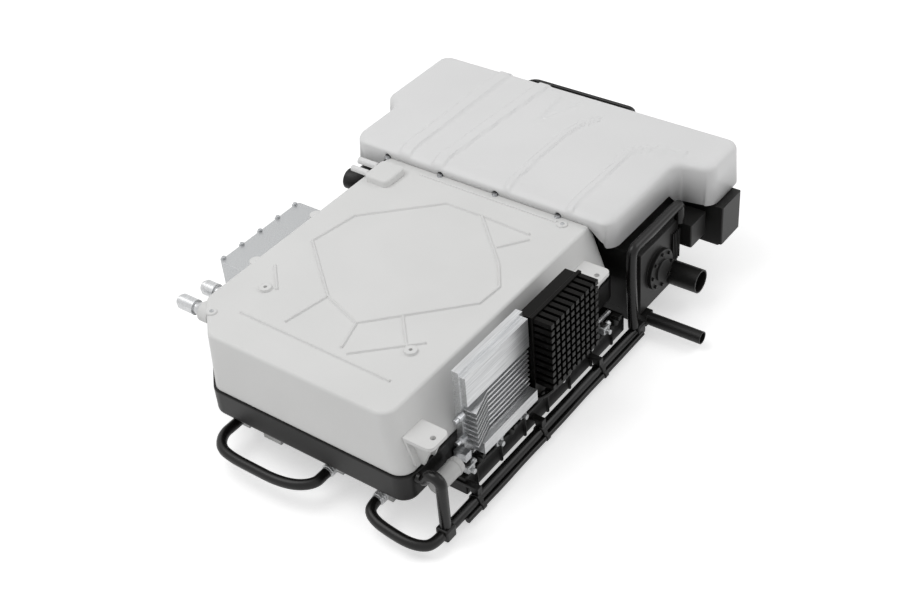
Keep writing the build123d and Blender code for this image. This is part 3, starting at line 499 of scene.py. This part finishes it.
# black coated guard tubes and the rings that join them
guard = {
    "radius": 13.5, "railX": 436.0, "railZ": 35.0, "hoopX": 430.0, "hoopFront": 187.0, "hoopRear": 424.0,
    "hoopTop": 289.0, "ringAt": (-500.0, -239.0, 22.0), "ringRadius": 16.8, "ringLength": 13.0,
    "drainX": 452.0, "drainZ": 24.0, "drainRadius": 7.0,
}


def makeGuards():
    g = guard
    x, y, top, far = g["hoopX"], g["hoopFront"], g["hoopTop"], g["hoopRear"]
    addTube("rearHoopTube", (
        (x + 6, y, 52), (x + 3, y, 120), (x, y, 180), (x, y, top - 34), (x, y + 2, top), (x, y + 36, top),
        (x, y + 90, top), (x, far - 60, top), (x, far - 24, top), (x, far, top - 4), (x, far, top - 34), (x, far, 232),
    ), g["radius"], "tubeBlack", "black_tube", "rear_hoop")
    x, z = g["drainX"], g["drainZ"]
    addTube("drainTubeRun", (
        (x, -556, z), (x, -500, z), (x + 2, -420, z + 1), (x - 1, -330, z - 1), (x + 1, -239, z), (x + 2, -150, z + 2),
        (x - 1, -60, z), (x, 22, z), (x + 1, 110, z + 1), (x, 205, z),
    ), g["drainRadius"], "tubeBlack", "black_tube", "drain_tube")
    shape = bmesh.new()
    for y in g["ringAt"]:
        half = g["ringLength"] / 2
        addRod(
            shape, (g["railX"], y - half, g["railZ"]), (g["railX"], y + half, g["railZ"]), g["ringRadius"], 32,
        )
        addRod(
            shape, (g["drainX"], y - half, g["drainZ"]), (g["drainX"], y + half, g["drainZ"]), g["drainRadius"] + 3,
        )
    finishPiece("railRings", meshOf("railRings", shape), "trayBlack", "black_coat", "rail_clamps", edge=1.2)
    print("guard tubes made")


makeGuards()


# hoses at the front, held in their blocks and fittings
hoses = {
    "radius": 13.0,
    "left": ((-178, -610, 66), (-178, -640, 66), (-178, -676, 66), (-150, -712, 66), (-100, -721, 66),
             (-37, -721, 66), (30, -721, 66), (84, -708, 66), (116, -680, 66), (116, -650, 66), (116, -636, 66)),
    "right": ((262, -636, 56), (262, -650, 56), (268, -672, 54), (296, -686, 50), (340, -690, 45),
              (392, -690, 40), (426, -676, 36), (436, -654, 35), (436, -631, 35)),
}
addTube("leftHoseRun", hoses["left"], hoses["radius"], "hoseBlack", "black_rubber", "left_hose")
addTube("rightHoseRun", hoses["right"], hoses["radius"], "hoseBlack", "black_rubber", "right_hose")
print("hoses made")


# pin heat sink, one casting with a plain strip below its pins
sink = {"back": 404.0, "plate": 10.0, "reach": 462.0, "front": -219.0, "rear": -13.0, "base": 112.0, "top": 353.0,
        "bareStrip": 40.0, "pinsAlong": 10, "pinsUp": 10, "pinSide": 13.0}


def makeSink():
    k = sink
    shape = bmesh.new()
    addBlock(shape, (k["back"], k["front"], k["base"]), (k["back"] + k["plate"], k["rear"], k["top"]))
    along = (k["rear"] - k["front"]) / k["pinsAlong"]
    up = (k["top"] - k["base"] - k["bareStrip"]) / k["pinsUp"]
    half = k["pinSide"] / 2
    for i in range(k["pinsAlong"]):
        for j in range(k["pinsUp"]):
            y = k["front"] + along * (i + 0.5)
            z = k["base"] + k["bareStrip"] + up * (j + 0.5)
            addBlock(shape, (k["back"] + k["plate"] - 1, y - half, z - half), (k["reach"], y + half, z + half))
    finishPiece(
        "pinHeatSink", meshOf("pinHeatSink", shape), "anodised", "anodised_black", "inverter_sink", edge=0.9,
    )
    print("heat sink made")


makeSink()


# coolant manifold under the tray's right edge, with its valves, sensors and lines
manifold = {
    "low": (346.0, -500.0, 32.0), "high": (412.0, 184.0, 86.0), "bandEvery": 97.0, "bandWide": 9.0,
    "valves": (-478.0, -372.0, -270.0, -118.0, 16.0, 92.0), "sensors": (-436.0, -322.0, -196.0, -60.0, 52.0, 140.0),
    "valveX": 402.0, "lineX": 382.0, "lineZ": 98.0,
}


def makeManifold():
    m = manifold
    body = bmesh.new()
    addBlock(body, m["low"], m["high"])
    y = m["low"][1] + 34
    while y < m["high"][1] - 12:
        addBlock(
            body, (m["low"][0], y, m["low"][2] - 3), (m["high"][0] + 4, y + m["bandWide"], m["high"][2] + 4),
        )
        y += m["bandEvery"]
    finishPiece("coolantManifold", meshOf("coolantManifold", body), "trayBlack", "black_coat", edge=6)
    metal, dark = bmesh.new(), bmesh.new()
    top = m["high"][2]
    for i, y in enumerate(m["valves"]):
        x = m["valveX"] + (4 if i % 2 else 0)
        addRod(metal, (x, y, top - 2), (x, y, top + 10), 9, 6)
        addBlock(metal, (x - 11, y - 13, top + 6), (x + 11, y + 13, top + 24))
        addRod(metal, (x, y + 12, top + 15), (x, y + 27, top + 15), 7.5, 6)
        addRod(metal, (x + 8, y - 4, top + 15), (x + 24, y - 4, top + 15), 6.5, 20)
        addRod(dark, (x, y, top + 22), (x, y, top + 30), 8)
    for i, y in enumerate(m["sensors"]):
        x = m["valveX"] + (8 if i % 2 else 0)
        addRod(dark, (x, y, top - 2), (x, y, top + 17), 10)
        addBlock(dark, (x - 8, y - 6, top + 15), (x + 16, y + 8, top + 27))
    finishPiece("fluidValves", meshOf("fluidValves", metal), "castSilver", "cast_silver", edge=1.0)
    finishPiece("sensorCaps", meshOf("sensorCaps", dark), "nylonBlack", "black_plastic", edge=1.5)
    x, z = m["lineX"], m["lineZ"]
    addTube("serviceLineRun", ((x, -512, z), (x, -420, z + 3), (x, -300, z - 1), (x, -180, z + 2), (x, -60, z),
                               (x, 60, z + 2), (x, 158, z)), 6.0, "bareSilver", "bare_silver", "service_line")
    for name, shift, start in (("thinLineLow", 14.0, -6.0), ("thinLineHigh", 24.0, 8.0)):
        addTube(name, ((x + shift, -226, z + start), (x + shift + 22, -200, z + start + 2),
                       (x + shift + 26, -140, z + start + 4), (x + shift + 22, -80, z + start + 1),
                       (x + shift, -54, z + start)), 4.5, "tubeBlack", "black_tube")
    print("manifold made")


makeManifold()


# water separator lying beside the tray's front corner
separator = {"x": 405.0, "z": 143.0, "radius": 21.0, "front": -601.0, "rear": -514.0}


def makeSeparator():
    p = separator
    shape = bmesh.new()
    addRod(shape, (p["x"], p["front"], p["z"]), (p["x"], p["rear"], p["z"]), p["radius"], 48)
    for y in (p["front"] + 14, p["rear"] - 14):
        addRod(shape, (p["x"], y - 3, p["z"]), (p["x"], y + 3, p["z"]), p["radius"] + 1.6, 48)
    finishPiece(
        "separatorCan", meshOf("separatorCan", shape), "paleGrey", "light_grey", "water_separator", edge=3,
    )
    print("separator made")


makeSeparator()


# closed black housing at the right rear, with a round bolted cover on its outer face
housing = {"low": (330.0, 232.0, 56.0), "high": (430.0, 420.0, 242.0), "coverY": 318.0, "coverZ": 150.0,
           "coverRadius": 56.0, "bolts": 8, "ribs": 5}


def makeHousing():
    k = housing
    shape = bmesh.new()
    addBlock(shape, k["low"], k["high"])
    face = k["high"][0]
    addRod(
        shape, (face - 2, k["coverY"], k["coverZ"]), (face + 12, k["coverY"], k["coverZ"]), k["coverRadius"], 56,
    )
    addRod(shape, (face + 10, k["coverY"], k["coverZ"]), (face + 18, k["coverY"], k["coverZ"]), 30, 40)
    for i in range(k["ribs"]):
        y = k["coverY"] + 66 + i * 8.0
        addBlock(shape, (face - 2, y, k["low"][2] + 70), (face + 7, y + 3.2, k["high"][2] - 26))
    finishPiece(
        "rearHousing", meshOf("rearHousing", shape), "nylonBlack", "black_plastic", "air_compressor", edge=7,
    )
    bolts = bmesh.new()
    for i in range(k["bolts"]):
        turn = 2 * math.pi * i / k["bolts"]
        y = k["coverY"] + 47 * math.cos(turn)
        z = k["coverZ"] + 47 * math.sin(turn)
        addRod(bolts, (face + 10, y, z), (face + 17, y, z), 5, 6)
    finishPiece("housingBolts", meshOf("housingBolts", bolts), "trayBlack", "black_coat", edge=0.5)
    print("housing made")


makeHousing()


# small parts that finish the covers: bosses, a rear strip, screws, and fittings on the converter
trim = {"bosses": ((255.0, 150.0), (-262.0, -560.0)), "strip": ((-190.0, 150.0), (236.0, 158.0)), "top": 325.0}


def makeTrim():
    t = trim
    white, metal = bmesh.new(), bmesh.new()
    for x, y in t["bosses"]:
        addRod(white, (x, y, t["top"] - 2), (x, y, t["top"] + 4), 14, 40, 12.5)
        addRod(metal, (x, y, t["top"] + 3), (x, y, t["top"] + 5.2), 5.5, 24)
    (xa, ya), (xb, yb) = t["strip"]
    addBlock(white, (xa, ya, t["top"] - 2), (xb, yb, t["top"] + 2.4))
    finishPiece("coverTrim", meshOf("coverTrim", white), "stackWhite", "cover_white", edge=1.2)
    for z in (180.0, 246.0):
        addRod(metal, (392, -486, z), (392, -466, z), 9, 6)
        addRod(metal, (392, -498, z), (392, -484, z), 6, 20)
    addBlock(metal, (376, -492, 128), (410, -470, 150))
    finishPiece("smallFittings", meshOf("smallFittings", metal), "steel", "steel", edge=0.6)
    print("trim made")


makeTrim()



# pale floor, even sky and two soft lamps
studio = {
    "skyStrength": 0.50,
    "floorSize": 60.0,
    "keyPower": 74.0,
    "keyPlace": (-1.6, -1.4, 4.2),
    "keySize": 3.0,
    "rimPower": 30.0,
    "rimPlace": (2.6, 2.4, 3.0),
    "rimSize": 2.4,
}


def seenDirectly(tree):
    rays = addNode(tree, "ShaderNodeLightPath")
    first = addNode(tree, "ShaderNodeMath", {0: rays.outputs["Is Camera Ray"], 1: rays.outputs["Is Glossy Ray"]},
                    operation="MAXIMUM")
    both = addNode(tree, "ShaderNodeMath", {0: first.outputs[0], 1: rays.outputs["Is Transmission Ray"]},
                   operation="MAXIMUM")
    return both.outputs[0]


def addStudio():
    world = bpy.data.worlds.new("paleStudio")
    world.use_nodes = True
    tree = world.node_tree
    tree.nodes.clear()
    seen = seenDirectly(tree)
    glow = addNode(tree, "ShaderNodeMix", {0: seen, 2: studio["skyStrength"], 3: 1.0})
    sky = addNode(tree, "ShaderNodeBackground", {"Color": linear("#FFFFFF"), "Strength": glow.outputs[0]})
    out = addNode(tree, "ShaderNodeOutputWorld")
    tree.links.new(sky.outputs[0], out.inputs["Surface"])
    scene.world = world

    half = studio["floorSize"] / 2
    mesh = bpy.data.meshes.new("floor")
    mesh.from_pydata([(-half, -half, 0), (half, -half, 0), (half, half, 0), (-half, half, 0)], [], [(0, 1, 2, 3)])
    floor = bpy.data.objects.new("floor", mesh)
    scene.collection.objects.link(floor)
    material = bpy.data.materials.new("paleFloor")
    material.use_nodes = True
    tree = material.node_tree
    tree.nodes.clear()
    matt = addNode(tree, "ShaderNodeBsdfDiffuse", {"Color": linear("#EDEDED")})
    lift = addNode(tree, "ShaderNodeEmission", {"Color": linear("#FFFFFF"), "Strength": 0.0})
    power = addNode(tree, "ShaderNodeMath", {0: seenDirectly(tree), 1: 0.50}, operation="MULTIPLY")
    tree.links.new(power.outputs[0], lift.inputs["Strength"])
    both = addNode(tree, "ShaderNodeAddShader", {0: matt.outputs[0], 1: lift.outputs[0]})
    out = addNode(tree, "ShaderNodeOutputMaterial")
    tree.links.new(both.outputs[0], out.inputs["Surface"])
    mesh.materials.append(material)

    for label in ("key", "rim"):
        lamp = bpy.data.lights.new(label + "Lamp", "AREA")
        lamp.shape = "SQUARE"
        lamp.size = studio[label + "Size"]
        lamp.energy = studio[label + "Power"]
        item = bpy.data.objects.new(label + "Lamp", lamp)
        item.location = studio[label + "Place"]
        aim = Vector((0, 0, 0.2)) - item.location
        item.rotation_euler = aim.to_track_quat("-Z", "Y").to_euler()
        scene.collection.objects.link(item)
    print("studio ready")


addStudio()
scene.view_settings.view_transform = "Standard"
